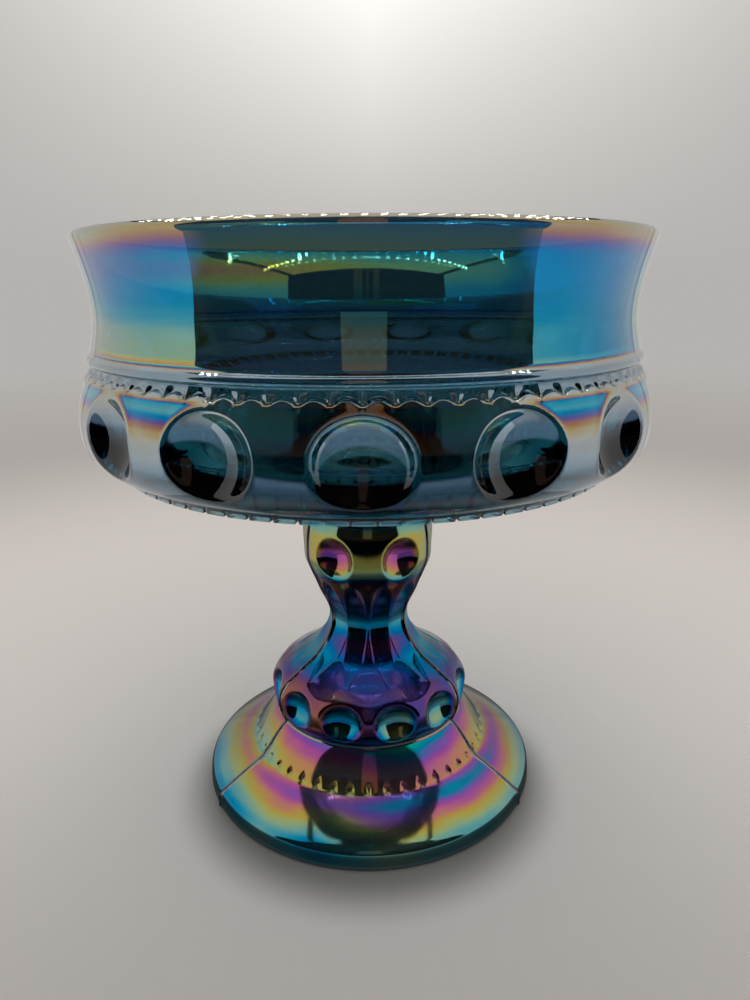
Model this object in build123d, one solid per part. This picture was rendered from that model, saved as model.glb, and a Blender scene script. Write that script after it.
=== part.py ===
from build123d import *
import math
import os

# Footed glass compote: a flared bowl on a pressed pedestal, joined by a hot glass wafer.
# Millimetres, +Z up, origin at the centre of the foot's resting circle.
# Azimuth 0 is the front, on -Y. The three mould seams lie at 60, 180 and 300 degrees.

# overall sizes
pedestalHeight = 108.0
waferThickness = 3.0
bowlHeight = 92.0
waistRadius = 89.2
footRadius = 63.5
waferRadius = 22.5

# bowl, radii outside, each measured out from the waist
rimFlare = 4.3
collarProud = 3.4
toothRootProud = 1.5
toothTipProud = 3.8
bellySwell = 7.4

# bowl, heights above the wafer
waistRise = 69.0
collarTopRise = 56.5
collarBottomRise = 53.0
collarEdge = 1.4
toothTipRise = 49.0
bellyRise = 36.0
bellyEdgeRise = 19.0

# bowl, walls and underside
rimWall = 3.4
waistWall = 3.8
innerDraft = 1.6
floorWall = 10.0
floorRadius = 12.0
slopeRadius = 70.0
slopeWall = 6.0
wallFootRise = 37.0
bellyTuck = 12.1
bossMargin = 1.5
bossRise = 2.0
underSlope = 0.35

# bowl, decoration
printCount = 15
printRadius = 16.0
printHalfWidth = 13.2
printRise = 35.7
toothCount = 75
toothGapBar = 6.0
lowerRingDrop = 2.0
lowerRingWidth = 3.0
lowerRingTaper = 0.5
lowerGapWidth = 1.2

# pedestal, heights above the table
knopDrop = 14.0
neckHeight = 66.0
bulbHeight = 38.0
undercutHeight = 28.6
stepHeight = 16.7
shoulderHeight = 7.6

# pedestal, radii
knopRadius = 24.6
neckRadius = 14.8
bulbRadius = 38.1
undercutInset = 2.4
stepRadius = 45.6
shoulderInset = 1.4
shoulderDrop = 4.0
skirtTopSlope = 0.5
skirtFootSlope = 0.62
heelBevel = 1.0
bulbShoulderInset = 8.2
bulbShoulderRise = 10.0

# pedestal, decoration
knopPrintCount = 6
knopPrintRadius = 10.0
knopPrintHalfWidth = 7.6
fluteCount = 12
fluteDepth = 0.8
fluteTubeRadius = 4.4
fluteReach = 16.4
bulbPrintCount = 12
bulbPrintRadius = 10.0
bulbPrintHalfWidth = 8.0
bulbPrintRise = 0.8
notchCount = 45
notchDepth = 1.8
notchBar = 4.0
notchLength = 8.0

# foot, underside
restWidth = 5.0
hollowHeight = 19.0
hollowEdge = 1.0

waferTop = pedestalHeight + waferThickness
collarRadius = waistRadius + collarProud
bellyRadius = waistRadius + bellySwell
bellyEdgeRadius = bellyRadius - bellyTuck
knopHeight = pedestalHeight - knopDrop

os.makedirs("parts", exist_ok=True)


def ringOf(tool, count, phase=0.0):
    """Copies of a tool made at the front, spread evenly round the axis."""
    step = 360 / count
    return [Rot(0, 0, phase + step * index) * tool for index in range(count)]


def dishTool(surfaceRadius, dishRadius, halfWidth, height):
    """A ball that leaves a round dish of the given half width in a round wall."""
    edgeReach = math.sqrt(surfaceRadius ** 2 - halfWidth ** 2)
    centreReach = edgeReach + math.sqrt(dishRadius ** 2 - halfWidth ** 2)
    return Pos(0, -centreReach, height) * Sphere(dishRadius)


def turned(outline):
    """A closed outline of radius and height, turned about the axis."""
    return revolve(Plane.XZ * make_face(outline), Axis.Z)


def bowlBlank():
    """The bowl before its decoration: flared band, collar, belly and underside."""
    rimHeight = waferTop + bowlHeight
    rimRadius = waistRadius + rimFlare
    waistHeight = waferTop + waistRise
    waistInner = waistRadius - waistWall
    innerRadius = waistInner - innerDraft
    floorHeight = waferTop + floorWall
    wallFoot = (innerRadius, waferTop + wallFootRise)
    collarBottom = waferTop + collarBottomRise
    edgeHeight = waferTop + bellyEdgeRise
    ringBottom = edgeHeight - lowerRingDrop
    ringInnerRadius = bellyEdgeRadius - lowerRingWidth
    bossRadius = waferRadius + bossMargin
    underRise = (edgeHeight - lowerRingTaper - waferTop - bossRise) / (ringInnerRadius - bossRadius)
    slopeHeight = waferTop + bossRise + underRise * (slopeRadius - bossRadius) + slopeWall

    lipOuter = (rimRadius, rimHeight - rimWall / 2)
    lipInner = (rimRadius - rimWall, rimHeight - rimWall / 2)
    lip = ThreePointArc(lipInner, (rimRadius - rimWall / 2, rimHeight), lipOuter)
    collarTop = (collarRadius - collarEdge, waferTop + collarTopRise)
    collarFoot = (waistRadius + toothRootProud, collarBottom)
    collarMiddle = waferTop + (collarTopRise + collarBottomRise) / 2
    flare = Spline(lipOuter, (waistRadius, waistHeight), collarTop, tangents=[(-0.3, -1), (0.25, -1)])
    collar = ThreePointArc(collarTop, (collarRadius, collarMiddle), collarFoot)
    root = Line(collar @ 1, (waistRadius + toothTipProud, waferTop + toothTipRise))
    belly = Spline(root @ 1, (bellyRadius, waferTop + bellyRise), (bellyEdgeRadius, edgeHeight),
                   tangents=[(0.55, -1), (-1, -0.75)])
    ringFace = Line(belly @ 1, (bellyEdgeRadius - lowerRingTaper, ringBottom))
    ringUnder = Line(ringFace @ 1, (ringInnerRadius, ringBottom))
    ringBack = Line(ringUnder @ 1, (ringInnerRadius, edgeHeight - lowerRingTaper))
    under = Spline(ringBack @ 1, (bossRadius, waferTop + bossRise),
                   tangents=[(-1, -underSlope), (-1, -underSlope)])
    boss = Line(under @ 1, (waferRadius, waferTop))
    seat = Line(boss @ 1, (0, waferTop))
    axis = Line(seat @ 1, (0, floorHeight))
    floorFlat = Line(axis @ 1, (floorRadius, floorHeight))
    floorRise = Spline(floorFlat @ 1, (slopeRadius, slopeHeight), wallFoot, tangents=[(1, 0), (0, 1)])
    wall = Spline(floorRise @ 1, (waistInner, waistHeight), lipInner, tangents=[(0, 1), (0.3, 1)])
    return turned([lip, flare, collar, root, belly, ringFace, ringUnder, ringBack,
                   under, boss, seat, axis, floorFlat, floorRise, wall])


def toothGapTool():
    """An upright square bar, edge inwards, whose bite between two teeth widens downwards."""
    bottom = waferTop + toothTipRise
    height = collarBottomRise - toothTipRise
    reach = waistRadius + toothRootProud + toothGapBar / math.sqrt(2)
    bar = Box(toothGapBar, toothGapBar, height, align=(Align.CENTER, Align.CENTER, Align.MIN))
    return Pos(0, -reach, bottom) * Rot(0, 0, 45) * bar


def lowerGapTool():
    """A block that parts two teeth of the ring under the belly."""
    length = 2 * lowerRingWidth
    centre = bellyEdgeRadius - lowerRingWidth / 2
    bottom = waferTop + bellyEdgeRise - lowerRingDrop
    block = Box(lowerGapWidth, length, 2 * (lowerRingDrop - lowerRingTaper))
    return Pos(0, -centre, bottom) * block


def bowl():
    prints = ringOf(dishTool(bellyRadius, printRadius, printHalfWidth, waferTop + printRise), printCount)
    toothGaps = ringOf(toothGapTool(), toothCount, 180 / toothCount)
    lowerGaps = ringOf(lowerGapTool(), toothCount, 180 / toothCount)
    return bowlBlank() - prints - toothGaps - lowerGaps


def joiningWafer():
    """The disc of hot glass that joins the two pressings."""
    disc = Cylinder(waferRadius, waferThickness, align=(Align.CENTER, Align.CENTER, Align.MIN))
    return Pos(0, 0, pedestalHeight) * disc


def pedestalBlank():
    """Knop, neck, bulb and stepped foot with its hollow underside."""
    knopMiddle = (knopRadius + neckRadius) / 2
    shoulderRadius = footRadius - shoulderInset
    hollowRadius = footRadius - restWidth

    top = Line((0, pedestalHeight), (waferRadius, pedestalHeight))
    knop = Spline(top @ 1, (knopRadius, knopHeight), tangents=[(1, -2), (0, -1)])
    upperNeck = Spline(knop @ 1, (knopMiddle, (knopHeight + neckHeight) / 2), (neckRadius, neckHeight),
                       tangents=[(0, -1), (0, -1)])
    bulbShoulder = (bulbRadius - bulbShoulderInset, bulbHeight + bulbShoulderRise)
    lowerNeck = Spline(upperNeck @ 1, bulbShoulder, (bulbRadius, bulbHeight), tangents=[(0, -1), (0, -1)])
    bulb = Spline(lowerNeck @ 1, (bulbRadius - undercutInset, undercutHeight), tangents=[(0, -1), (-0.6, -1)])
    cone = Line(bulb @ 1, (stepRadius, stepHeight))
    skirt = Spline(cone @ 1, (shoulderRadius, shoulderHeight),
                   tangents=[(1, -skirtTopSlope), (1, -skirtFootSlope)])
    edge = Spline(skirt @ 1, (footRadius, shoulderHeight - shoulderDrop),
                  tangents=[(1, -skirtFootSlope), (0, -1)])
    side = Line(edge @ 1, (footRadius, heelBevel))
    heel = Line(side @ 1, (footRadius - heelBevel, 0))
    rest = Line(heel @ 1, (hollowRadius, 0))
    lead = Line(rest @ 1, (hollowRadius - hollowEdge, 2 * hollowEdge))
    hollow = Spline(lead @ 1, (0, hollowHeight), tangents=[(-1, 0.9), (-1, 0)])
    axis = Line(hollow @ 1, top @ 0)
    return turned([top, knop, upperNeck, lowerNeck, bulb, cone, skirt, edge, side, heel, rest,
                   lead, hollow, axis])


def fluteTool():
    """A ring on edge that hollows one flute and fades out at both ends of the neck."""
    centreReach = neckRadius - fluteDepth + fluteReach
    ring = Torus(fluteReach - fluteTubeRadius, fluteTubeRadius)
    return Pos(0, -centreReach, neckHeight) * Rot(0, 90, 0) * ring


def notchTool():
    """An upright square bar, edge inwards, that nicks the cone just above the step."""
    reach = stepRadius - notchDepth + notchBar / math.sqrt(2)
    bar = Box(notchBar, notchBar, notchLength, align=(Align.CENTER, Align.CENTER, Align.MIN))
    return Pos(0, -reach, stepHeight) * Rot(0, 0, 45) * bar


def pedestal():
    knopDish = dishTool(knopRadius, knopPrintRadius, knopPrintHalfWidth, knopHeight)
    bulbDish = dishTool(bulbRadius, bulbPrintRadius, bulbPrintHalfWidth, bulbHeight + bulbPrintRise)
    knopPrints = ringOf(knopDish, knopPrintCount, 180 / knopPrintCount)
    bulbPrints = ringOf(bulbDish, bulbPrintCount, 180 / bulbPrintCount)
    flutes = ringOf(fluteTool(), fluteCount, 180 / fluteCount)
    notches = ringOf(notchTool(), notchCount)
    return pedestalBlank() - knopPrints - bulbPrints - flutes - notches


subParts = {"bowl": bowl, "joining_wafer": joiningWafer, "pedestal": pedestal}

for nodeName, makeNode in subParts.items():
    solid = makeNode()
    print(nodeName, len(solid.solids()), "solids", round(solid.volume / 1000, 1), "cm3", solid.is_valid)
    export_step(solid, f"parts/{nodeName}.step")
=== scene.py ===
import bpy
import bmesh
import math
from mathutils import Vector, Matrix


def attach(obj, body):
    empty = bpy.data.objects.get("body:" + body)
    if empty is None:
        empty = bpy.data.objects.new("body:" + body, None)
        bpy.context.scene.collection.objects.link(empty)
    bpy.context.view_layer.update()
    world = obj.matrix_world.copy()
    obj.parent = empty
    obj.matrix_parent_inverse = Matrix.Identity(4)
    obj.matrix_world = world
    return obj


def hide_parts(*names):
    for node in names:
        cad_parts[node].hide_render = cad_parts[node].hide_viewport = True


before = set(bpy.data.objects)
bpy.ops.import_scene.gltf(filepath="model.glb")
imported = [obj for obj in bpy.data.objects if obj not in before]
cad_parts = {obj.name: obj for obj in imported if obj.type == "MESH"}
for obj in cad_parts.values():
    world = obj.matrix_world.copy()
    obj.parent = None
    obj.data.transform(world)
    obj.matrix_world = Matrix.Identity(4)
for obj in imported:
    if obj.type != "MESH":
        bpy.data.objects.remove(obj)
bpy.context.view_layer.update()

millimetre = 0.001
print("frame loaded")


# a value in a node tree that plain arithmetic works on
class Field:
    def __init__(self, tree, socket):
        self.tree = tree
        self.socket = socket

    def op(self, operation, *others):
        node = self.tree.nodes.new("ShaderNodeMath")
        node.operation = operation
        for socket, value in zip(node.inputs, (self, *others)):
            feed(self.tree, socket, value)
        return Field(self.tree, node.outputs[0])

    def __add__(self, other):
        return self.op("ADD", other)

    def __radd__(self, other):
        return self.op("ADD", other)

    def __sub__(self, other):
        return self.op("SUBTRACT", other)

    def __rsub__(self, other):
        return self.op("MULTIPLY_ADD", -1.0, other)

    def __mul__(self, other):
        return self.op("MULTIPLY", other)

    def __rmul__(self, other):
        return self.op("MULTIPLY", other)

    def __truediv__(self, other):
        return self.op("DIVIDE", other)

    def __rtruediv__(self, other):
        return self.op("POWER", -1.0) * other

    def __neg__(self):
        return self.op("MULTIPLY", -1.0)

    def abs(self):
        return self.op("ABSOLUTE")

    def sqrt(self):
        return self.op("MAXIMUM", 0.0).op("SQRT")

    def sin(self):
        return self.op("SINE")

    def cos(self):
        return self.op("COSINE")

    def min(self, other):
        return self.op("MINIMUM", other)

    def max(self, other):
        return self.op("MAXIMUM", other)

    def below(self, other):
        return self.op("LESS_THAN", other)

    def above(self, other):
        return self.op("GREATER_THAN", other)

    def softMin(self, other, width):
        return self.op("SMOOTH_MIN", other, width)

    def ramp(self, low, high):
        node = self.tree.nodes.new("ShaderNodeMapRange")
        node.interpolation_type = "SMOOTHSTEP"
        for socket, value in zip(node.inputs, (self, low, high, 0.0, 1.0)):
            feed(self.tree, socket, value)
        return Field(self.tree, node.outputs[0])

    # one where this is the given whole number, and nothing elsewhere
    def equals(self, number):
        return self.op("COMPARE", float(number), 0.1)

    # offset from the nearest of the marks that stand one pitch apart, the first at phase
    def fromNearest(self, pitch, phase=0.0):
        turns = (self - phase) / pitch
        return (turns - turns.op("ROUND")) * pitch


def feed(tree, socket, value):
    if isinstance(value, Field):
        tree.links.new(value.socket, socket)
    elif hasattr(value, "is_output"):
        tree.links.new(value, socket)
    else:
        socket.default_value = value


def addNode(tree, kind, settings=None, **inputs):
    node = tree.nodes.new(kind)
    for name, value in (settings or {}).items():
        setattr(node, name, value)
    for name, value in inputs.items():
        feed(tree, node.inputs[name.replace("_", " ")], value)
    return node


sameSpot = 1e-4       # millimetres between two rows that are one
weldDistance = 2e-6   # metres
seamCount = 3         # mould seams, the first half a pitch from the front
seamPitch = 2 * math.pi / seamCount


# a smooth path through a few points, as rows of a turned surface
def strand(points, rows, startWay=None, endWay=None):
    spots = [Vector(point) for point in points]
    spans = [(b - a).length for a, b in zip(spots, spots[1:])]
    ways = []
    for index in range(len(spots)):
        before = (spots[index] - spots[index - 1]) / spans[index - 1] if index else None
        after = (spots[index + 1] - spots[index]) / spans[index] if index < len(spans) else None
        ways.append(before + after if before and after else before or after)
    if startWay:
        ways[0] = Vector(startWay)
    if endWay:
        ways[-1] = Vector(endWay)
    ways = [way.normalized() for way in ways]
    total = sum(spans)
    path = []
    for row in range(rows + 1):
        along = total * row / rows
        index = 0
        while index < len(spans) - 1 and along > spans[index]:
            along -= spans[index]
            index += 1
        t = along / spans[index]
        a, b = spots[index], spots[index + 1]
        wayA, wayB = ways[index] * spans[index], ways[index + 1] * spans[index]
        path.append(a * (2 * t ** 3 - 3 * t ** 2 + 1) + wayA * (t ** 3 - 2 * t ** 2 + t)
                    + b * (3 * t ** 2 - 2 * t ** 3) + wayB * (t ** 3 - t ** 2))
    return path


# film depth part way along a strand, from one number or from pairs of share and depth
def filmDepth(film, share):
    if not isinstance(film, list):
        return film
    for (low, depthLow), (high, depthHigh) in zip(film, film[1:]):
        if share <= high:
            t = (share - low) / (high - low)
            return depthLow + (depthHigh - depthLow) * t * t * (3 - 2 * t)
    return film[-1][1]


# an outline's points are millimetres of radius and height, and its film is in nanometres
# as a mesh it is one row of points, each with its film depth, its coarseness and its mark
def outlineObject(name, strands):
    places, film, coarse, mark = [], [], [], []
    for piece in strands:
        path = strand(piece["points"], piece["rows"], piece.get("start"), piece.get("end"))
        for row, spot in enumerate(path):
            if places and (places[-1] - spot).length < sameSpot:
                continue
            places.append(spot)
            film.append(filmDepth(piece["film"], row / (len(path) - 1)))
            coarse.append(piece.get("coarse", 0))
            mark.append(piece.get("mark", 0))
    mesh = bpy.data.meshes.new(name)
    mesh.from_pydata([(spot.x * millimetre, 0, spot.y * millimetre) for spot in places], [], [])
    for label, values in (("film", film), ("coarse", coarse), ("mark", mark)):
        mesh.attributes.new(label, "FLOAT", "POINT").data.foreach_set("value", [float(v) for v in values])
    outline = bpy.data.objects.new(name, mesh)
    bpy.context.scene.collection.objects.link(outline)
    return outline


# a geometry tree with its named inputs, and a field for each
def newTree(name, numbers):
    tree = bpy.data.node_groups.new(name, "GeometryNodeTree")
    tree.interface.new_socket("Geometry", in_out="OUTPUT", socket_type="NodeSocketGeometry")
    tree.interface.new_socket("Outline", in_out="INPUT", socket_type="NodeSocketObject")
    tree.interface.new_socket("Finish", in_out="INPUT", socket_type="NodeSocketMaterial")
    for label, value in numbers.items():
        kind = "NodeSocketInt" if isinstance(value, int) else "NodeSocketFloat"
        tree.interface.new_socket(label, in_out="INPUT", socket_type=kind)
    source = tree.nodes.new("NodeGroupInput")
    fields = {label: Field(tree, source.outputs[label]) for label in numbers}
    return tree, source, fields


crowdingPower = 1.8


# the turned blank: a grid whose columns go round the axis and whose rows follow the outline
def turnedGrid(tree, source, fields):
    outline = addNode(tree, "GeometryNodeObjectInfo", Object=source.outputs["Outline"])
    rowCount = Field(tree, addNode(tree, "GeometryNodeAttributeDomainSize",
                                   Geometry=outline.outputs["Geometry"]).outputs["Point Count"])
    segments = fields["Segments"]
    grid = addNode(tree, "GeometryNodeMeshGrid", Size_X=1.0, Size_Y=1.0)
    feed(tree, grid.inputs["Vertices X"], segments + 1)
    feed(tree, grid.inputs["Vertices Y"], rowCount)
    split = addNode(tree, "ShaderNodeSeparateXYZ",
                    Vector=tree.nodes.new("GeometryNodeInputPosition").outputs[0])
    column = ((Field(tree, split.outputs["X"]) + 0.5) * segments).op("ROUND")
    row = ((Field(tree, split.outputs["Y"]) + 0.5) * (rowCount - 1)).op("ROUND")

    def sample(value, kind="FLOAT"):
        node = addNode(tree, "GeometryNodeSampleIndex", {"data_type": kind, "domain": "POINT"},
                       Geometry=outline.outputs["Geometry"])
        feed(tree, node.inputs["Value"], value)
        feed(tree, node.inputs["Index"], row)
        return node.outputs[0]

    def named(label):
        reader = addNode(tree, "GeometryNodeInputNamedAttribute", {"data_type": "FLOAT"}, Name=label)
        return Field(tree, sample(reader.outputs["Attribute"]))

    place = addNode(tree, "ShaderNodeSeparateXYZ",
                    Vector=sample(tree.nodes.new("GeometryNodeInputPosition").outputs[0], "FLOAT_VECTOR"))
    coarseColumn = (column / fields["Coarsening"]).op("ROUND") * fields["Coarsening"]
    coarse = named("coarse")
    evenAngle = (column + (coarseColumn - column) * coarse) / segments * (2 * math.pi)
    # the columns crowd towards each mould seam, so that the thin line there is sharp
    offset = evenAngle.fromNearest(seamPitch, seamPitch / 2)
    reach = offset.abs() / fields["Seam crowding"].max(0.0001)
    crowded = reach.op("POWER", crowdingPower) * fields["Seam crowding"] * offset.op("SIGN")
    angle = evenAngle + (crowded - offset) * reach.below(1.0)
    return {"grid": grid.outputs["Mesh"], "angle": angle, "radius": Field(tree, place.outputs["X"]),
            "height": Field(tree, place.outputs["Z"]), "film": named("film"), "mark": named("mark")}


# places the shaped rows, welds seam and poles, and gives the result its finish
def closeTree(tree, source, blank, radius, height, film):
    place = addNode(tree, "ShaderNodeCombineXYZ")
    feed(tree, place.inputs["X"], radius * blank["angle"].sin())
    feed(tree, place.inputs["Y"], -(radius * blank["angle"].cos()))
    feed(tree, place.inputs["Z"], height)
    stored = addNode(tree, "GeometryNodeStoreNamedAttribute", {"data_type": "FLOAT", "domain": "POINT"},
                     Geometry=blank["grid"], Name="film")
    feed(tree, stored.inputs["Value"], film)
    placed = addNode(tree, "GeometryNodeSetPosition", Geometry=stored.outputs[0], Position=place.outputs[0])
    welded = addNode(tree, "GeometryNodeMergeByDistance", Geometry=placed.outputs[0], Distance=weldDistance)
    shaded = addNode(tree, "GeometryNodeSetShadeSmooth", Geometry=welded.outputs[0])
    real = addNode(tree, "GeometryNodeRealizeInstances", Geometry=shaded.outputs[0])
    finished = addNode(tree, "GeometryNodeSetMaterial", Geometry=real.outputs[0],
                       Material=source.outputs["Finish"])
    out = tree.nodes.new("NodeGroupOutput")
    tree.links.new(finished.outputs[0], out.inputs[0])


# a ball-shaped dish in a round wall: the radius that its surface has at this angle and height
def dishRadius(angle, height, wallRadius, ballRadius, halfWidth, middle):
    edgeReach = (wallRadius * wallRadius - halfWidth * halfWidth).sqrt()
    centreReach = edgeReach + (ballRadius * ballRadius - halfWidth * halfWidth).sqrt()
    rise = height - middle
    side = centreReach * angle.sin()
    inside = (ballRadius * ballRadius - side * side - rise * rise).sqrt()
    return centreReach * angle.cos() - inside


# a low raised line along each mould seam
def seamHeight(angle, radius, fields):
    away = angle.fromNearest(seamPitch, seamPitch / 2).abs() * radius
    return fields["Seam height"] * (1 - away.ramp(0.0, fields["Seam width"]))


# runs a tree on an outline and keeps the result as a plain mesh
def bakePiece(name, tree, outline, finish, numbers):
    seed = bpy.data.meshes.new(name)
    maker = bpy.data.objects.new(name + ".maker", seed)
    bpy.context.scene.collection.objects.link(maker)
    modifier = maker.modifiers.new("shape", "NODES")
    modifier.node_group = tree
    for item in tree.interface.items_tree:
        if item.item_type != "SOCKET" or item.in_out != "INPUT":
            continue
        value = {"Outline": outline, "Finish": finish}.get(item.name, numbers.get(item.name))
        modifier[item.identifier] = value
    bpy.context.view_layer.update()
    evaluated = maker.evaluated_get(bpy.context.evaluated_depsgraph_get())
    mesh = bpy.data.meshes.new_from_object(evaluated)
    maker.modifiers.clear()
    bpy.data.objects.remove(maker)
    bpy.data.objects.remove(outline)
    mesh.name = name
    body = bmesh.new()
    body.from_mesh(mesh)
    if body.calc_volume(signed=True) < 0:
        bmesh.ops.reverse_faces(body, faces=body.faces)
    loose = [edge for edge in body.edges if not edge.is_manifold]
    print(name, len(body.faces), "faces,", sum(len(f.verts) - 2 for f in body.faces), "triangles,",
          len(loose), "open edges")
    body.to_mesh(mesh)
    body.free()
    piece = bpy.data.objects.new(name, mesh)
    bpy.context.scene.collection.objects.link(piece)
    return piece


# the bowl, in metres, and its film in nanometres

bowlShape = {
    "Segments": 900, "Coarsening": 3.0,
    "Print count": 15, "Print wall": 0.0966, "Print ball": 0.016, "Print half width": 0.0132,
    "Print height": 0.1467, "Print roll": 0.0016, "Print bareness": 0.6,
    "Belly depth": 0.008, "Bareness reach": 0.006,
    "Tooth count": 75, "Tooth root": 0.0906, "Tooth tip": 0.160, "Tooth top": 0.1642,
    "Tooth narrow": 0.12, "Tooth wide": 0.90, "Tooth clearance": 0.003,
    "Tooth tip proud": 1.1, "Tooth top proud": 0.6, "Scallop": 0.0018, "Scallop blur": 0.0002,
    "Ring top": 0.1302, "Ring gap": 0.0006, "Ring floor": 0.0004, "Seam start": 0.0805,
    "Film lean": 0.9, "Leaning film": 140.0, "Band start": 0.1662,
    "Seam height": 0.00018, "Seam width": 0.0008, "Seam crowding": 0.05,
}

ringMark, toothMark = 1, 2   # rows of the ring under the belly, and rows of the teeth under the collar

bowlStrands = [
    {"points": [(0, 111), (22.5, 111)], "rows": 3, "film": 0, "coarse": 1},
    {"points": [(22.5, 111), (24, 113)], "rows": 2, "film": 40, "coarse": 1},
    {"points": [(24, 113), (81.6, 129.2)], "rows": 10, "film": [(0, 40), (1, 20)], "coarse": 1,
     "start": (1, 0.35), "end": (1, 0.35)},
    {"points": [(81.6, 129.2), (81.6, 128)], "rows": 2, "film": 30, "mark": ringMark},
    {"points": [(81.6, 128), (84.1, 128)], "rows": 3, "film": 20, "mark": ringMark},
    {"points": [(84.1, 128), (84.6, 130)], "rows": 3, "film": 16, "mark": ringMark},
    {"points": [(84.6, 130), (93.5, 135.6), (96.6, 147), (93.4, 159.2)], "rows": 50,
     "film": [(0, 14), (0.4, 20), (0.66, 52), (0.77, 84), (0.83, 106), (0.88, 130), (0.95, 158), (1, 150)],
     "start": (1, 0.42), "end": (-0.5, 1)},
    {"points": [(93.4, 159.2), (92.6, 160.6), (90.9, 164)], "rows": 14,
     "film": [(0, 150), (0.2, 95), (0.4, 55), (0.65, 35), (1, 25)], "mark": toothMark},
    {"points": [(90.9, 164), (92.6, 165.8), (91.2, 167.5)], "rows": 8, "film": [(0, 30), (0.7, 34), (1, 60)],
     "coarse": 1, "start": (1, 0.35), "end": (-1, 0.5)},
    {"points": [(91.2, 167.5), (89.2, 180), (93.5, 201.3)], "rows": 24, "coarse": 1,
     "film": [(0, 212), (0.03, 196), (0.07, 165), (0.15, 164), (0.25, 162), (0.38, 150), (0.5, 144),
              (0.8, 138), (0.86, 130), (0.91, 114), (0.96, 102), (1, 90)],
     "start": (-0.25, 1), "end": (0.3, 1)},
    {"points": [(93.5, 201.3), (91.8, 203), (90.1, 201.3)], "rows": 8,
     "film": [(0, 92), (0.5, 70), (1, 150)], "coarse": 1, "start": (0, 1), "end": (0, -1)},
    {"points": [(90.1, 201.3), (85.4, 180), (83.8, 148)], "rows": 18, "coarse": 1,
     "film": [(0, 150), (0.15, 185), (0.4, 150), (0.7, 130), (1, 20)], "start": (-0.3, -1), "end": (0, -1)},
    {"points": [(83.8, 148), (81, 139), (70, 132.2), (60, 128.3), (45, 123.9), (12, 121)], "rows": 18,
     "film": 0, "coarse": 1, "start": (0, -1), "end": (-1, 0)},
    {"points": [(12, 121), (0, 121)], "rows": 2, "film": 0, "coarse": 1},
]


def bowlTree(numbers):
    tree, source, f = newTree("pressedBowl", numbers)
    blank = turnedGrid(tree, source, f)
    angle, radius, height, mark = blank["angle"], blank["radius"], blank["height"], blank["mark"]
    # the round dishes of the belly, with their rolled edges
    fromPrint = angle.fromNearest(2 * math.pi / f["Print count"].max(1.0))
    dish = dishRadius(fromPrint, height, f["Print wall"], f["Print ball"], f["Print half width"],
                      f["Print height"])
    outside = radius.above(f["Tooth root"] - f["Belly depth"])
    outside = outside * height.below(f["Tooth tip"] + f["Tooth clearance"])
    depth = (radius - dish) * outside
    shaped = radius.softMin(dish, f["Print roll"])
    inRing = mark.equals(ringMark)
    radius = radius + (shaped - radius) * outside * (1 - inRing)
    # the teeth under the collar: facets that narrow downwards, over a scalloped edge
    pitch = 2 * math.pi / f["Tooth count"].max(1.0)
    fromTooth = angle.fromNearest(pitch).abs()
    inTeeth = mark.equals(toothMark)
    span = f["Tooth top"] - f["Tooth tip"]
    rise = ((height - f["Tooth tip"]) / span).max(0.0).min(1.0)
    across = fromTooth / pitch * 2
    toothHalf = f["Tooth narrow"] + (f["Tooth wide"] - f["Tooth narrow"]) * rise
    facet = (1 - across / toothHalf).max(0.0)
    scallop = f["Tooth tip"] + f["Scallop"] * (1 - (1 - across) * (1 - across))
    belly = 1 - height.ramp(scallop - f["Scallop blur"], scallop + f["Scallop blur"] * 2)
    proud = (radius - f["Tooth root"]).max(0.0)
    stand = f["Tooth tip proud"] + (f["Tooth top proud"] - f["Tooth tip proud"]) * rise
    toothed = f["Tooth root"] + proud * (facet * stand).max(belly)
    radius = radius + (toothed - radius) * inTeeth
    # the ring of small blocks under the belly
    gap = 1 - ((pitch / 2 - fromTooth) * radius).ramp(f["Ring gap"] * 0.5, f["Ring gap"])
    height = height + (f["Ring top"] - f["Ring floor"] - height).max(0.0) * gap * inRing
    radius = radius + seamHeight(angle, radius, f) * radius.above(f["Seam start"]) * (1 - inRing)
    # thinner film inside the dishes, and on the band a thicker one to the left than to the right
    film = blank["film"] * (1 - depth.ramp(-f["Bareness reach"], 0.0) * outside * f["Print bareness"])
    onBand = height.above(f["Band start"])
    film = film - (film - f["Leaning film"]).max(0.0) * f["Film lean"] * angle.sin() * onBand
    closeTree(tree, source, blank, radius, height, film)
    return tree


# the pedestal, in metres, and its film in nanometres

pedestalShape = {
    "Segments": 540, "Coarsening": 3.0,
    "Knop print count": 6, "Knop wall": 0.0246, "Knop ball": 0.010, "Knop half width": 0.0076,
    "Knop height": 0.094, "Knop roll": 0.0012,
    "Bulb print count": 12, "Bulb wall": 0.0381, "Bulb ball": 0.0100, "Bulb half width": 0.0080,
    "Bulb height": 0.0388, "Bulb roll": 0.0010, "Bulb foot": 0.0286, "Bulb top": 0.049,
    "Flute count": 12, "Flute top": 0.083, "Flute tip": 0.0473, "Flute half width": 0.0035,
    "Flute share": 0.46, "Flute depth": 0.0006, "Flute roundness": 0.7,
    "Lip height": 0.00018, "Lip place": 1.12, "Lip width": 0.14,
    "Arch depth": 0.0010, "Arch rise": 0.0045, "Tip rise": 0.0065,
    "Deep from": 0.0745, "Deep full": 0.079,
    "Notch count": 45, "Notch floor": 0.0433, "Notch slant": 1.1, "Notch rise": 0.006,
    "Step height": 0.0167,
    "Crease height": 0.0457, "Crease wave": 0.0009, "Crease depth": 0.0005, "Crease rise": 0.007,
    "Neck inside": 0.014, "Bulb inside": 0.02, "Seat edge": 0.1078, "Dip film": 40.0,
    "Seam height": 0.0008, "Seam width": 0.0012, "Seam crowding": 0.09,
}

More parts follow.
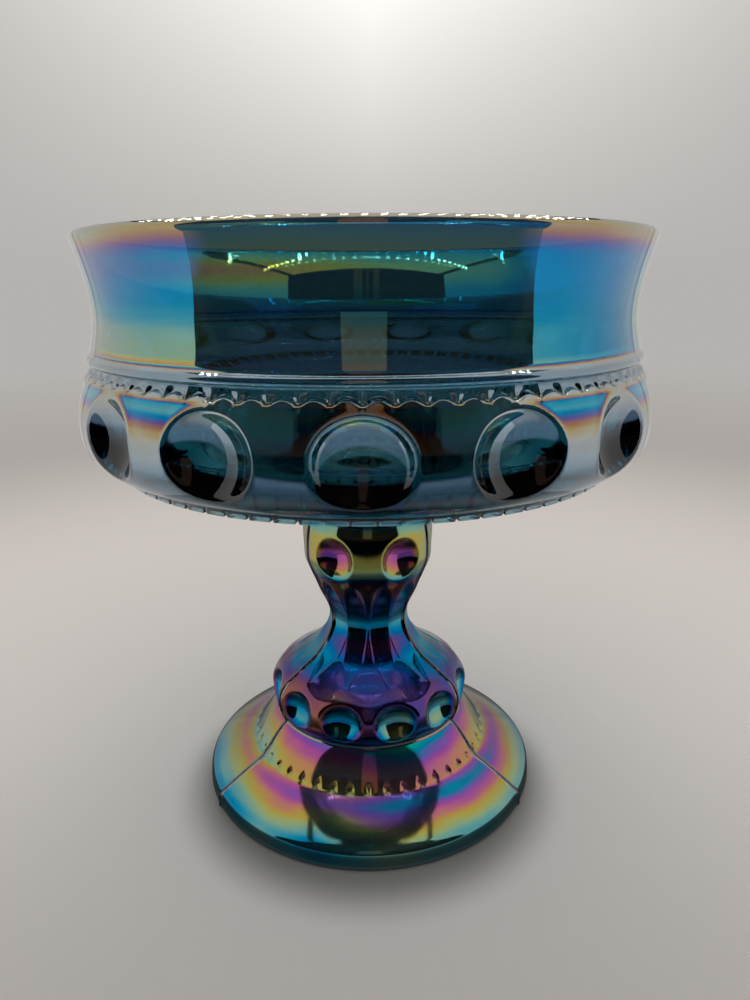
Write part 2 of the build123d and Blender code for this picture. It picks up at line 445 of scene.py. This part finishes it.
pedestalStrands = [
    {"points": [(0, 108), (22.5, 108)], "rows": 3, "film": 240, "coarse": 1},
    {"points": [(22.5, 108), (24.6, 94)], "rows": 18, "film": [(0, 142), (0.2, 165), (0.5, 198), (1, 206)],
     "start": (1, -2), "end": (0, -1)},
    {"points": [(24.6, 94), (20.4, 81), (14.8, 66)], "rows": 34,
     "film": [(0, 206), (0.2, 190), (0.38, 128), (0.65, 150), (1, 160)], "start": (0, -1), "end": (0, -1)},
    {"points": [(14.8, 66), (21.0, 54), (30.0, 47.8), (36.0, 43.2), (38.1, 38)], "rows": 44,
     "film": [(0, 160), (0.2, 128), (0.4, 145), (0.6, 138), (0.75, 126), (1, 120)],
     "start": (0, -1), "end": (0, -1)},
    {"points": [(38.1, 38), (35.7, 28.6)], "rows": 14, "film": [(0, 118), (1, 150)], "start": (0, -1),
     "end": (-0.6, -1)},
    {"points": [(35.7, 28.6), (45.6, 16.7)], "rows": 16, "film": [(0, 255), (0.3, 228), (0.7, 200), (1, 188)],
     "start": (1, -0.8), "end": (0.8, -1)},
    {"points": [(45.6, 16.7), (62.1, 7.6)], "rows": 14,
     "film": [(0, 215), (0.25, 240), (0.55, 208), (0.8, 178), (1, 155)],
     "start": (1, -0.5), "end": (1, -0.62)},
    {"points": [(62.1, 7.6), (63.5, 3.6)], "rows": 8, "film": [(0, 155), (1, 162)], "start": (1, -0.62),
     "end": (0, -1)},
    {"points": [(63.5, 3.6), (63.5, 1.0), (62.5, 0)], "rows": 4, "film": 164,
     "start": (0, -1), "end": (-1, 0)},
    {"points": [(62.5, 0), (58.5, 0)], "rows": 2, "film": 0, "coarse": 1},
    {"points": [(58.5, 0), (57.5, 2)], "rows": 2, "film": 0, "coarse": 1},
    {"points": [(57.5, 2), (36.3, 13.9), (0, 19)], "rows": 14, "film": 0, "coarse": 1,
     "start": (-1, 0.9), "end": (-1, 0)},
]


def pedestalTree(numbers):
    tree, source, f = newTree("pressedPedestal", numbers)
    blank = turnedGrid(tree, source, f)
    angle, radius, height = blank["angle"], blank["radius"], blank["height"]
    start = radius
    # round dishes on the knop and on the bulb
    knopPitch = 2 * math.pi / f["Knop print count"].max(1.0)
    knopDish = dishRadius(angle.fromNearest(knopPitch, knopPitch / 2), height, f["Knop wall"], f["Knop ball"],
                          f["Knop half width"], f["Knop height"])
    onKnop = height.above(f["Flute top"]) * height.below(f["Seat edge"])
    radius = radius + (radius.softMin(knopDish, f["Knop roll"]) - radius) * onKnop
    bulbPitch = 2 * math.pi / f["Bulb print count"].max(1.0)
    bulbDish = dishRadius(angle.fromNearest(bulbPitch, bulbPitch / 2), height, f["Bulb wall"], f["Bulb ball"],
                          f["Bulb half width"], f["Bulb height"])
    onBulb = height.above(f["Bulb foot"]) * height.below(f["Bulb top"]) * radius.above(f["Bulb inside"])
    radius = radius + (radius.softMin(bulbDish, f["Bulb roll"]) - radius) * onBulb
    # the shoulder of the bulb steps in along a line that waves over the dishes
    wave = (angle * f["Bulb print count"]).cos() * f["Crease wave"]
    past = (height - f["Crease height"] + wave).ramp(-0.0003, 0.0005)
    easedOut = (height - f["Crease height"]).ramp(0.001, f["Crease rise"])
    setBack = past * (1 - easedOut) * radius.above(f["Bulb inside"])
    radius = radius - f["Crease depth"] * setBack
    # flutes with arched tops and pointed lower tips
    flutePitch = 2 * math.pi / f["Flute count"].max(1.0)
    fluteHalf = f["Flute half width"].min(radius * flutePitch * f["Flute share"])
    intoArch = (height - f["Flute top"] + f["Arch rise"]).max(0.0) / f["Arch rise"]
    arch = (1 - intoArch.op("POWER", 2.0)).sqrt()
    tip = ((height - f["Flute tip"]) / f["Tip rise"]).max(0.0).min(1.0)
    tip = tip.op("POWER", f["Flute roundness"])
    aside = angle.fromNearest(flutePitch, flutePitch / 2) * radius
    across = (aside / (fluteHalf * arch * tip).max(0.00005)).abs()
    scoop = (1 - across * across).max(0.0)
    lip = (1 - ((across - f["Lip place"]).abs() / f["Lip width"]).min(1.0)) * (arch * tip).ramp(0.05, 0.4)
    fluted = height.above(f["Flute tip"]) * height.below(f["Flute top"])
    deepTop = height.ramp(f["Deep from"], f["Deep full"]) * f["Arch depth"]
    fluteDepth = (f["Flute depth"] + deepTop) * scoop.op("POWER", f["Flute roundness"])
    radius = radius - fluteDepth * fluted + f["Lip height"] * lip * fluted
    # nicks above the step of the foot
    notchPitch = 2 * math.pi / f["Notch count"].max(1.0)
    aside = (angle.fromNearest(notchPitch) * radius).abs()
    onCone = height.above(f["Step height"] + 0.0001) * height.below(f["Step height"] + f["Notch rise"])
    notch = f["Notch floor"] + aside * f["Notch slant"]
    radius = radius + (radius.min(notch) - radius) * onCone
    outside = height.above(0.0008) * radius.above(0.0148)
    seam = seamHeight(angle, radius, f) * outside * start.above(f["Neck inside"])
    seam = seam * height.below(f["Seat edge"])
    radius = radius + seam
    bare = (seam / f["Seam height"].max(0.00001)).ramp(0.15, 0.5)
    dip = start - radius
    film = blank["film"] + dip.ramp(0.0002, 0.003) * f["Dip film"]
    # no film on the mould seams, which shows them as darker lines
    film = film * (1 - bare * outside)
    closeTree(tree, source, blank, radius, height, film)
    return tree


# the disc of glass that joins bowl and pedestal
waferShape = {"Segments": 180, "Coarsening": 3.0, "Seam crowding": 0.02}

waferStrands = [
    {"points": [(0, 108), (22.1, 108)], "rows": 3, "film": 0, "coarse": 1},
    {"points": [(22.1, 108), (22.5, 109.5), (22.1, 111)], "rows": 8, "film": [(0, 250), (1, 150)],
     "start": (1, 0.6), "end": (-1, 0.6)},
    {"points": [(22.1, 111), (0, 111)], "rows": 3, "film": 0, "coarse": 1},
]


def waferTree(numbers):
    tree, source, f = newTree("joiningWafer", numbers)
    blank = turnedGrid(tree, source, f)
    closeTree(tree, source, blank, blank["radius"], blank["height"], blank["film"])
    return tree


# the finishes

glassFinish = {"absorbColour": (0.06, 0.58, 0.66, 1), "filmIor": 2.35, "glassIor": 1.52, "smudge": 0.07,
               "bareFilm": 5.0, "fullFilm": 60.0, "bandStart": 0.163, "bandFull": 0.169,
               "rippleDepth": 0.0006, "tintStart": 50.0, "tintSpan": 230.0}


# film depth becomes a colour that a plain viewer can show: silver, gold, magenta, blue, green and round again
def filmTintGroup():
    tree = bpy.data.node_groups.new("filmTint", "ShaderNodeTree")
    tree.interface.new_socket("Film", in_out="INPUT", socket_type="NodeSocketFloat")
    tree.interface.new_socket("Body", in_out="INPUT", socket_type="NodeSocketColor")
    tree.interface.new_socket("Strength", in_out="INPUT", socket_type="NodeSocketFloat")
    tree.interface.new_socket("Colour", in_out="OUTPUT", socket_type="NodeSocketColor")
    source = tree.nodes.new("NodeGroupInput")
    out = tree.nodes.new("NodeGroupOutput")
    ramp = tree.nodes.new("ShaderNodeValToRGB")
    stops = [(0.0, (0.75, 0.78, 0.80)), (0.22, (0.80, 0.62, 0.28)), (0.32, (0.62, 0.16, 0.42)),
             (0.42, (0.08, 0.22, 0.75)), (0.53, (0.10, 0.62, 0.60)), (0.62, (0.45, 0.70, 0.20)),
             (0.70, (0.80, 0.60, 0.16)), (0.79, (0.75, 0.20, 0.50)), (0.89, (0.20, 0.35, 0.70)),
             (1.0, (0.10, 0.60, 0.35))]
    while len(ramp.color_ramp.elements) < len(stops):
        ramp.color_ramp.elements.new(1.0)
    for element, (place, colour) in zip(ramp.color_ramp.elements, stops):
        element.position = place
        element.color = (*colour, 1)
    share = (Field(tree, source.outputs["Film"]) - glassFinish["tintStart"]) / glassFinish["tintSpan"]
    feed(tree, ramp.inputs["Fac"], share)
    mix = addNode(tree, "ShaderNodeMix", {"data_type": "RGBA"})
    feed(tree, mix.inputs[0], source.outputs["Strength"])
    feed(tree, mix.inputs[6], source.outputs["Body"])
    feed(tree, mix.inputs[7], ramp.outputs["Color"])
    tree.links.new(mix.outputs[2], out.inputs["Colour"])
    return tree


filmTint = filmTintGroup()


# the marks of handling and pressing: faint smudges, hairline scratches, specks of dust and a slow ripple
def wearGroup():
    tree = bpy.data.node_groups.new("wearMarks", "ShaderNodeTree")
    tree.interface.new_socket("Place", in_out="INPUT", socket_type="NodeSocketVector")
    tree.interface.new_socket("Smudge", in_out="OUTPUT", socket_type="NodeSocketFloat")
    tree.interface.new_socket("Height", in_out="OUTPUT", socket_type="NodeSocketFloat")
    source = tree.nodes.new("NodeGroupInput")
    out = tree.nodes.new("NodeGroupOutput")
    place = source.outputs["Place"]

    def noise(vector, scale, detail=2.0):
        node = addNode(tree, "ShaderNodeTexNoise", Vector=vector, Scale=scale, Detail=detail)
        return Field(tree, node.outputs["Fac"])

    cloud = noise(place, 35.0, 5.0)
    grain = noise(place, 900.0)
    ripple = noise(place, 90.0)
    streak = addNode(tree, "ShaderNodeMapping", Vector=place, Rotation=(0.3, 0.5, 0.2), Scale=(40, 900, 60))
    scratch = noise(streak.outputs[0], 1.0).ramp(0.70, 0.74)
    dust = addNode(tree, "ShaderNodeTexVoronoi", Vector=place, Scale=260.0)
    speck = 1 - Field(tree, dust.outputs["Distance"]).ramp(0.04, 0.08)
    smudge = cloud.ramp(0.48, 0.72) * 0.6 + scratch * 0.4 + speck
    feed(tree, out.inputs["Smudge"], smudge.min(1.0))
    feed(tree, out.inputs["Height"], ripple * 0.8 + grain * 0.06 - scratch * 0.03 + speck * 0.05)
    return tree


wearMarks = wearGroup()


# dark teal glass under a film whose depth is the mesh's own, wandering a little from place to place
def filmedGlass(name, look):
    material = bpy.data.materials.new(name)
    material.use_nodes = True
    tree = material.node_tree
    shader = tree.nodes["Principled BSDF"]
    output = tree.nodes["Material Output"]
    shader.inputs["IOR"].default_value = glassFinish["glassIor"]
    shader.inputs["Transmission Weight"].default_value = 1.0
    shader.inputs["Metallic"].default_value = look["metallic"]
    shader.inputs["Thin Film IOR"].default_value = glassFinish["filmIor"]
    place = addNode(tree, "ShaderNodeTexCoord").outputs["Object"]
    depth = Field(tree, addNode(tree, "ShaderNodeAttribute", {"attribute_name": "film"}).outputs["Fac"])
    wander = addNode(tree, "ShaderNodeTexNoise", Vector=place, Scale=look["wanderScale"], Detail=3.0)
    coated = depth.ramp(glassFinish["bareFilm"], glassFinish["fullFilm"])
    depth = depth + (Field(tree, wander.outputs["Fac"]) - 0.5) * look["filmWander"] * coated
    feed(tree, shader.inputs["Thin Film Thickness"], depth)
    # the band above the collar has a darker body colour than the belly, which lets less light through it
    rise = Field(tree, addNode(tree, "ShaderNodeSeparateXYZ", Vector=place).outputs["Z"])
    body = addNode(tree, "ShaderNodeMix", {"data_type": "RGBA"})
    feed(tree, body.inputs[0], rise.ramp(glassFinish["bandStart"], glassFinish["bandFull"]))
    body.inputs[6].default_value = look["body"]
    body.inputs[7].default_value = look["bandBody"]
    tint = addNode(tree, "ShaderNodeGroup", {"node_tree": filmTint}, Body=body.outputs[2],
                   Strength=look["tint"])
    feed(tree, tint.inputs["Film"], depth)
    tree.links.new(tint.outputs["Colour"], shader.inputs["Base Color"])
    wear = addNode(tree, "ShaderNodeGroup", {"node_tree": wearMarks}, Place=place)
    smudge = Field(tree, wear.outputs["Smudge"]) * glassFinish["smudge"]
    feed(tree, shader.inputs["Roughness"], smudge + look["roughness"])
    bump = addNode(tree, "ShaderNodeBump", Strength=look["ripple"], Distance=glassFinish["rippleDepth"],
                   Height=wear.outputs["Height"])
    tree.links.new(bump.outputs["Normal"], shader.inputs["Normal"])
    absorb = addNode(tree, "ShaderNodeVolumeAbsorption", Color=glassFinish["absorbColour"],
                     Density=look["density"])
    tree.links.new(absorb.outputs[0], output.inputs["Volume"])
    return material


bowlLook = {"body": (0.85, 0.95, 0.97, 1), "bandBody": (0.36, 0.52, 0.62, 1), "tint": 0.10,
            "metallic": 0.0, "roughness": 0.012, "filmWander": 30.0, "wanderScale": 24.0,
            "ripple": 0.03, "density": 170.0}
pedestalLook = {"body": (0.80, 0.94, 0.96, 1), "bandBody": (0.80, 0.94, 0.96, 1), "tint": 0.12,
                "metallic": 0.0, "roughness": 0.07, "filmWander": 150.0, "wanderScale": 17.0,
                "ripple": 0.07, "density": 280.0}
bowlGlass = filmedGlass("bowlGlass", bowlLook)
pedestalGlass = filmedGlass("pedestalGlass", pedestalLook)
print("finishes ready")

bowl = bakePiece("bowl_glass", bowlTree(bowlShape), outlineObject("bowlOutline", bowlStrands),
                 bowlGlass, bowlShape)
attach(bowl, "root")
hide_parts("bowl")

pedestal = bakePiece("pedestal_glass", pedestalTree(pedestalShape),
                     outlineObject("pedestalOutline", pedestalStrands), pedestalGlass, pedestalShape)
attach(pedestal, "root")
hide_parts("pedestal")

wafer = bakePiece("wafer_glass", waferTree(waferShape), outlineObject("waferOutline", waferStrands),
                  pedestalGlass, waferShape)
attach(wafer, "root")
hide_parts("joining_wafer")
print("three glass pieces placed")

# the camera

camera = bpy.data.objects.new("camera", bpy.data.cameras.new("camera"))
bpy.context.scene.collection.objects.link(camera)
bpy.context.scene.camera = camera
cameraView = {"lens": 27.0, "distance": 0.26716, "height": 0.1894, "side": 0.0028, "pitch": 16.52,
              "roll": -0.35}
camera.data.lens = cameraView["lens"]
camera.data.sensor_width = 36.0
camera.data.clip_start = 0.01
camera.matrix_world = (Matrix.Translation((cameraView["side"], -cameraView["distance"], cameraView["height"]))
                       @ Matrix.Rotation(math.radians(90 - cameraView["pitch"]), 4, "X")
                       @ Matrix.Rotation(math.radians(cameraView["roll"]), 4, "Z"))
print("camera placed")

# the floor and the light

studio = {
    "floorReach": 3.0, "floorColour": (0.47, 0.45, 0.44, 1), "floorFront": -0.26,
    "footShade": 0.34, "footShadeFrom": 0.056, "footShadeTo": 0.078, "footShadeForward": 0.010,
    "dome": 1.9, "room": (0.020, 0.014, 0.010), "backdrop": 0.46, "backdropColour": (1, 0.965, 0.93, 1),
    "tentHalf": 0.155, "tentFront": -0.125, "tentBack": 0.20, "tentTop": 0.31, "ceilingHalf": 0.14,
    "side": 0.95, "back": 0.45, "rear": 0.55, "ceiling": 1.0, "tentColour": (1, 0.985, 0.96, 1),
    "throughGlass": 0.38, "ceilingThrough": 1.0,
    "sitterHalf": 0.06, "sitterSpan": (0.12, 0.70), "sitterPlace": -0.45,
    "sitterColour": (0.20, 0.13, 0.10, 1),
    "mirrorFloor": (0.46, 0.45, 0.44, 1), "mirrorFront": (0.24, 0.32, 0.42, 1),
    "lampPitch": 0.010, "lampSize": 0.0022, "lampPower": 140.0, "lampColour": (0.92, 0.97, 1.0, 1),
    "lampRows": [((-0.14, -0.05, 0.302), (0.14, -0.05, 0.302)), ((-0.14, 0.02, 0.302), (0.14, 0.02, 0.302))],
}

floorMesh = bpy.data.meshes.new("floor")
reach = studio["floorReach"]
floorMesh.from_pydata([(-reach, -reach, 0), (reach, -reach, 0), (reach, reach, 0), (-reach, reach, 0)],
                      [], [(0, 1, 2, 3)])
floor = bpy.data.objects.new("floor", floorMesh)
bpy.context.scene.collection.objects.link(floor)


# where a stage material stands, as three numbers
def objectPlace(tree):
    return addNode(tree, "ShaderNodeSeparateXYZ",
                   Vector=addNode(tree, "ShaderNodeTexCoord").outputs["Object"])


# one for a ray that the glass sent here, mirrored or let through
def fromGlass(tree, path):
    through = Field(tree, path.outputs["Is Transmission Ray"])
    return Field(tree, path.outputs["Is Glossy Ray"]).max(through)


def floorFinish():
    material = bpy.data.materials.new("floorPaint")
    material.use_nodes = True
    tree = material.node_tree
    shader = tree.nodes["Principled BSDF"]
    output = tree.nodes["Material Output"]
    shader.inputs["Roughness"].default_value = 0.8
    shader.inputs["Specular IOR Level"].default_value = 0.0
    place = objectPlace(tree)
    x, y = Field(tree, place.outputs["X"]), Field(tree, place.outputs["Y"])
    away = (x * x + y * y).sqrt()
    # painted shade: the floor is darker in front, as if further from the light, and darker far off, and it
    # has a painted shadow of the foot close to it
    shade = addNode(tree, "ShaderNodeMix", {"data_type": "RGBA", "blend_type": "MULTIPLY"})
    shade.inputs[0].default_value = 1.0
    shade.inputs[6].default_value = studio["floorColour"]
    forward = y + studio["footShadeForward"]
    fromFoot = (x * x + forward * forward).sqrt()
    clearOfFoot = fromFoot.ramp(studio["footShadeFrom"], studio["footShadeTo"])
    paintedShading = (0.62 + 0.38 * y.ramp(-0.22, 0.04)) * (1 - 0.34 * away.ramp(0.26, 0.72))
    paintedShading = paintedShading * (studio["footShade"] + (1 - studio["footShade"]) * clearOfFoot)
    grey = addNode(tree, "ShaderNodeCombineColor")
    for channel in ("Red", "Green", "Blue"):
        feed(tree, grey.inputs[channel], paintedShading)
    tree.links.new(grey.outputs[0], shade.inputs[7])
    tree.links.new(shade.outputs[2], shader.inputs["Base Color"])
    # what the glass mirrors, as a painted reflection: a glowing pale floor, cooler in front, dark beyond it,
    # with painted shade dimming it in the shade of the bowl
    path = tree.nodes.new("ShaderNodeLightPath")
    mirrored = fromGlass(tree, path)
    paintedReflectionTone = addNode(tree, "ShaderNodeMix", {"data_type": "RGBA"})
    feed(tree, paintedReflectionTone.inputs[0], y.ramp(-0.15, -0.10))
    paintedReflectionTone.inputs[6].default_value = studio["mirrorFront"]
    paintedReflectionTone.inputs[7].default_value = studio["mirrorFloor"]
    glow = addNode(tree, "ShaderNodeEmission", Color=paintedReflectionTone.outputs[2])
    reachAndPaintedShade = y.ramp(studio["floorFront"] - 0.06, studio["floorFront"])
    # painted shade: the mirrored floor glow is dimmed close under the foot and the bowl
    reachAndPaintedShade = reachAndPaintedShade * (0.10 + 0.90 * away.ramp(0.060, 0.14))
    through = Field(tree, path.outputs["Is Transmission Ray"])
    feed(tree, glow.inputs["Strength"], reachAndPaintedShade * (1 - through * (1 - studio["throughGlass"])))
    clear = tree.nodes.new("ShaderNodeBsdfTransparent")
    fade = tree.nodes.new("ShaderNodeMixShader")
    feed(tree, fade.inputs[0], away.ramp(0.45, 1.6))
    tree.links.new(shader.outputs[0], fade.inputs[1])
    tree.links.new(clear.outputs[0], fade.inputs[2])
    either = tree.nodes.new("ShaderNodeMixShader")   # paint for the camera, a glow for the glass
    feed(tree, either.inputs[0], mirrored)
    tree.links.new(fade.outputs[0], either.inputs[1])
    tree.links.new(glow.outputs[0], either.inputs[2])
    tree.links.new(either.outputs[0], output.inputs["Surface"])
    material.cycles.emission_sampling = "NONE"
    return material


floorMesh.materials.append(floorFinish())

world = bpy.data.worlds.new("studio")
bpy.context.scene.world = world
world.use_nodes = True


# the camera sees a backdrop with painted light, brighter upwards and towards the middle, the floor a soft
# dome,
# and the glass a dark room beyond the tent's open front
def worldLight():
    tree = world.node_tree
    shader = tree.nodes["Background"]
    direction = addNode(tree, "ShaderNodeSeparateXYZ",
                        Vector=addNode(tree, "ShaderNodeTexCoord").outputs["Generated"])
    up = Field(tree, direction.outputs["Z"])
    path = tree.nodes.new("ShaderNodeLightPath")
    seen = Field(tree, path.outputs["Is Camera Ray"])
    mirrored = fromGlass(tree, path)
    rise = up.max(0.0)
    centred = (1 - Field(tree, direction.outputs["X"]).abs() / 0.53).max(0.0)
    # painted light: the backdrop is brighter upwards and towards the middle
    backdrop = studio["backdrop"] + (rise + rise * rise * 3.2) * centred
    level = seen * backdrop + (1 - seen) * (1 - mirrored) * studio["dome"] * up.ramp(0.1, 0.95)
    warm = addNode(tree, "ShaderNodeMix", {"data_type": "RGBA"})
    feed(tree, warm.inputs[0], mirrored * (1 - seen))
    warm.inputs[6].default_value = studio["backdropColour"]
    warm.inputs[7].default_value = (*studio["room"], 1)
    tree.links.new(warm.outputs[2], shader.inputs["Color"])
    feed(tree, shader.inputs["Strength"], level.max(mirrored * (1 - seen)))


worldLight()


# a plain glow, dimmer for light that comes through the glass
def glowFinish(name, colour, strength, rearStrength, throughGlass, sampling="NONE"):
    material = bpy.data.materials.new(name)
    material.use_nodes = True
    tree = material.node_tree
    through = Field(tree, tree.nodes.new("ShaderNodeLightPath").outputs["Is Transmission Ray"])
    glow = addNode(tree, "ShaderNodeEmission", Color=colour)
    place = objectPlace(tree)
    toRear = Field(tree, place.outputs["Y"]).ramp(-0.04, studio["tentBack"])
    level = strength + toRear * (rearStrength - strength)
    feed(tree, glow.inputs["Strength"], (1 - through * (1 - throughGlass)) * level)
    tree.links.new(glow.outputs[0], tree.nodes["Material Output"].inputs["Surface"])
    material.cycles.emission_sampling = sampling
    return material


# stands in the room for the glass alone to mirror
def mirroredOnly(name, mesh):
    thing = bpy.data.objects.new(name, mesh)
    bpy.context.scene.collection.objects.link(thing)
    thing.visible_camera = False
    thing.visible_diffuse = False
    thing.visible_shadow = False


# a soft light tent, open at the front
def lightTent():
    half, front, back, top = (studio[key] for key in ("tentHalf", "tentFront", "tentBack", "tentTop"))
    narrow, body, away = (studio[key] for key in ("ceilingHalf", "sitterHalf", "sitterPlace"))
    low, high = studio["sitterSpan"]
    panels = {
        "left": ([(-half, front, 0), (-half, back, 0), (-half, back, top), (-half, front, top)],
                 studio["side"]),
        "right": ([(half, front, 0), (half, back, 0), (half, back, top), (half, front, top)],
                  studio["side"]),
        "back": ([(-half, back, 0), (half, back, 0), (half, back, top), (-half, back, top)], studio["back"]),
        "ceiling": ([(-narrow, front, top), (narrow, front, top), (narrow, back, top), (-narrow, back, top)],
                    studio["ceiling"]),
        "sitter": ([(-body, away, low), (body, away, low), (body, away, high), (-body, away, high)], 1.0),
    }
    for name, (corners, level) in panels.items():
        colour = studio["sitterColour"] if name == "sitter" else studio["tentColour"]
        rear = min(level, studio["rear"])
        mesh = bpy.data.meshes.new("tent_" + name)
        mesh.from_pydata(corners, [], [(0, 1, 2, 3)])
        clear = studio["ceilingThrough"] if name == "ceiling" else studio["throughGlass"]
        mesh.materials.append(glowFinish("tentGlow_" + name, colour, level, rear, clear))
        mirroredOnly("tent_" + name, mesh)


lightTent()


# rows of small lamps under the ceiling
def lampStrip():
    body = bmesh.new()
    for start, end in studio["lampRows"]:
        start, end = Vector(start), Vector(end)
        count = int((end - start).length / studio["lampPitch"]) + 1
        for index in range(count):
            spot = start.lerp(end, index / (count - 1))
            bmesh.ops.create_icosphere(body, subdivisions=1, radius=studio["lampSize"],
                                       matrix=Matrix.Translation(spot))
    mesh = bpy.data.meshes.new("lampStrip")
    body.to_mesh(mesh)
    body.free()
    power = studio["lampPower"]
    glow = glowFinish("lampGlow", studio["lampColour"], power, power, studio["throughGlass"], "FRONT")
    mesh.materials.append(glow)
    mirroredOnly("lampStrip", mesh)


lampStrip()
bpy.context.scene.view_settings.view_transform = "Standard"
print("studio lit")
